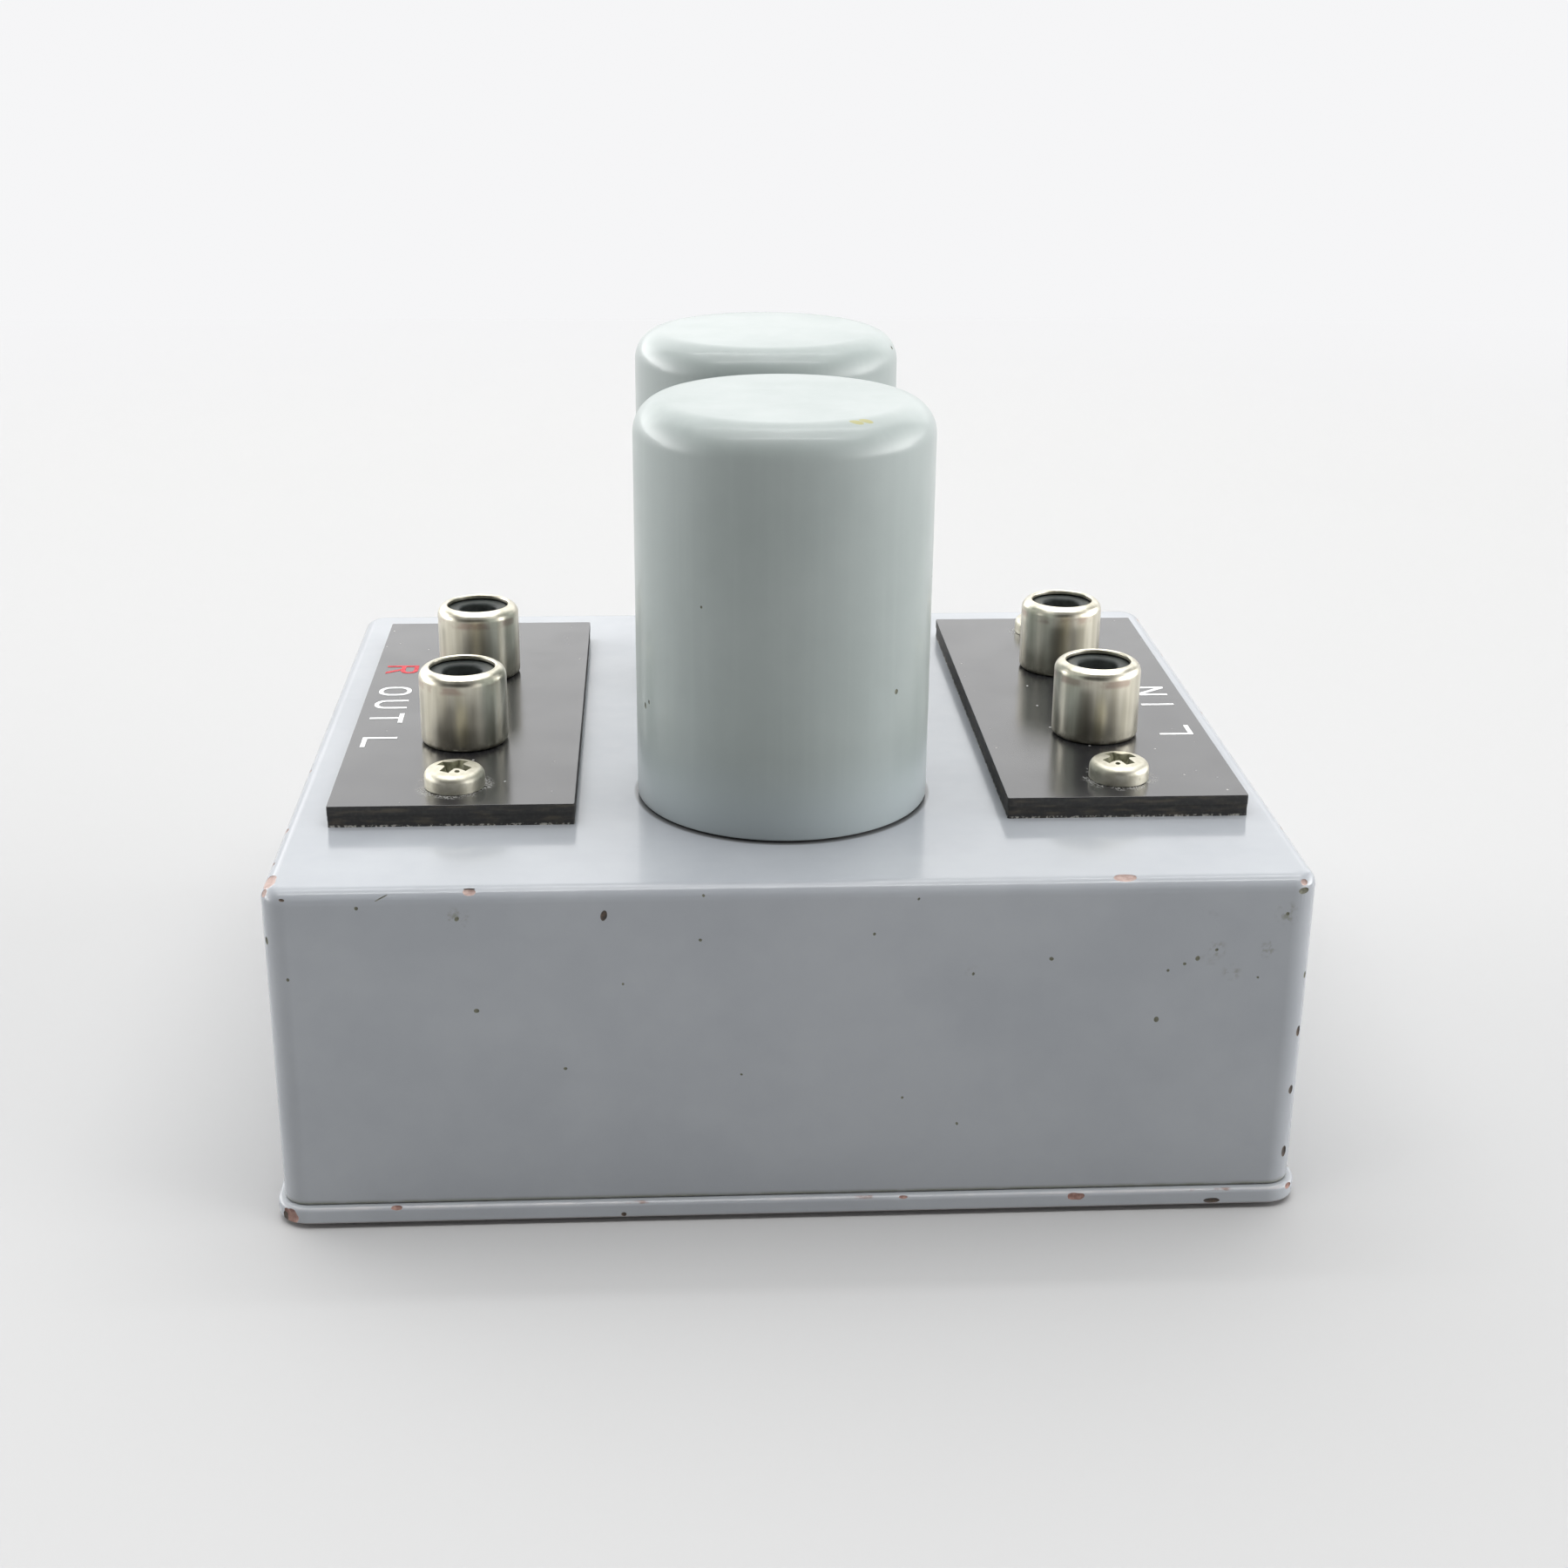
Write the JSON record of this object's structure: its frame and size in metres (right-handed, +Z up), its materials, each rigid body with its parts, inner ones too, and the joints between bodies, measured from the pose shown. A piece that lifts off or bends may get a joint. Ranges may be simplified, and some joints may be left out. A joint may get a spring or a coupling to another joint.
{
  "type": "moving coil step-up transformer",
  "caption": "Square steel box that raises the signal of a moving coil phono cartridge, with round transformer cans and boards of phono jacks on its top.",
  "frame": {"origin": "middle of the base plate's underside", "axes": "+X to the right, towards the input board; +Y to the rear; +Z up, out of the case's top"},
  "size_m": [0.0912, 0.0812, 0.0684],
  "materials": {
    "case_paint": "blue-grey gloss enamel, chipped at the edges",
    "can_paint": "satin grey-green lacquer",
    "board_phenolic": "smooth black laminate with sawn edges",
    "nickel": "nickel plate, lightly tarnished",
    "insulator_black": "moulded",
    "contact_brass": "turned",
    "screw_nickel": "nickel plate",
    "plated_steel": "zinc plate",
    "core_steel": "bare lamination edges",
    "copper_wire": "enamelled copper",
    "bobbin_plastic": "moulded",
    "potting_wax": "cast",
    "black_rubber": "matt",
    "red_sleeving": "sleeved wire",
    "white_sleeving": "sleeved wire",
    "black_sleeving": "sleeved wire",
    "lettering_white": "printed ink",
    "lettering_red": "printed ink"
  },
  "bodies": {
    "root": {"case_shell": "case_paint", "base_plate": "case_paint", "base_screws": "screw_nickel", "front_can": "can_paint", "front_gasket": "black_rubber", "front_can_base": "plated_steel", "front_studs": "plated_steel", "front_potting": "potting_wax", "front_core": "core_steel", "front_bobbin": "bobbin_plastic", "front_primary_winding": "copper_wire", "front_secondary_winding": "copper_wire", "front_lead_bush": "black_rubber", "rear_can": "can_paint", "rear_gasket": "black_rubber", "rear_can_base": "plated_steel", "rear_studs": "plated_steel", "rear_potting": "potting_wax", "rear_core": "core_steel", "rear_bobbin": "bobbin_plastic", "rear_primary_winding": "copper_wire", "rear_secondary_winding": "copper_wire", "rear_lead_bush": "black_rubber", "stud_washers": "plated_steel", "stud_nuts": "plated_steel", "out_board": "board_phenolic", "in_board": "board_phenolic", "out_front_shell": "nickel", "out_front_insulator": "insulator_black", "out_front_contact": "contact_brass", "out_front_ground_lug": "plated_steel", "out_rear_shell": "nickel", "out_rear_insulator": "insulator_black", "out_rear_contact": "contact_brass", "out_rear_ground_lug": "plated_steel", "in_front_shell": "nickel", "in_front_insulator": "insulator_black", "in_front_contact": "contact_brass", "in_front_ground_lug": "plated_steel", "in_rear_shell": "nickel", "in_rear_insulator": "insulator_black", "in_rear_contact": "contact_brass", "in_rear_ground_lug": "plated_steel", "board_screws": "screw_nickel", "board_washers": "plated_steel", "board_nuts": "plated_steel", "front_out_leads": "red_sleeving", "rear_out_leads": "red_sleeving", "front_in_leads": "white_sleeving", "rear_in_leads": "white_sleeving", "ground_tag": "plated_steel", "ground_wire": "black_sleeving"}
  },
  "joints": []
}
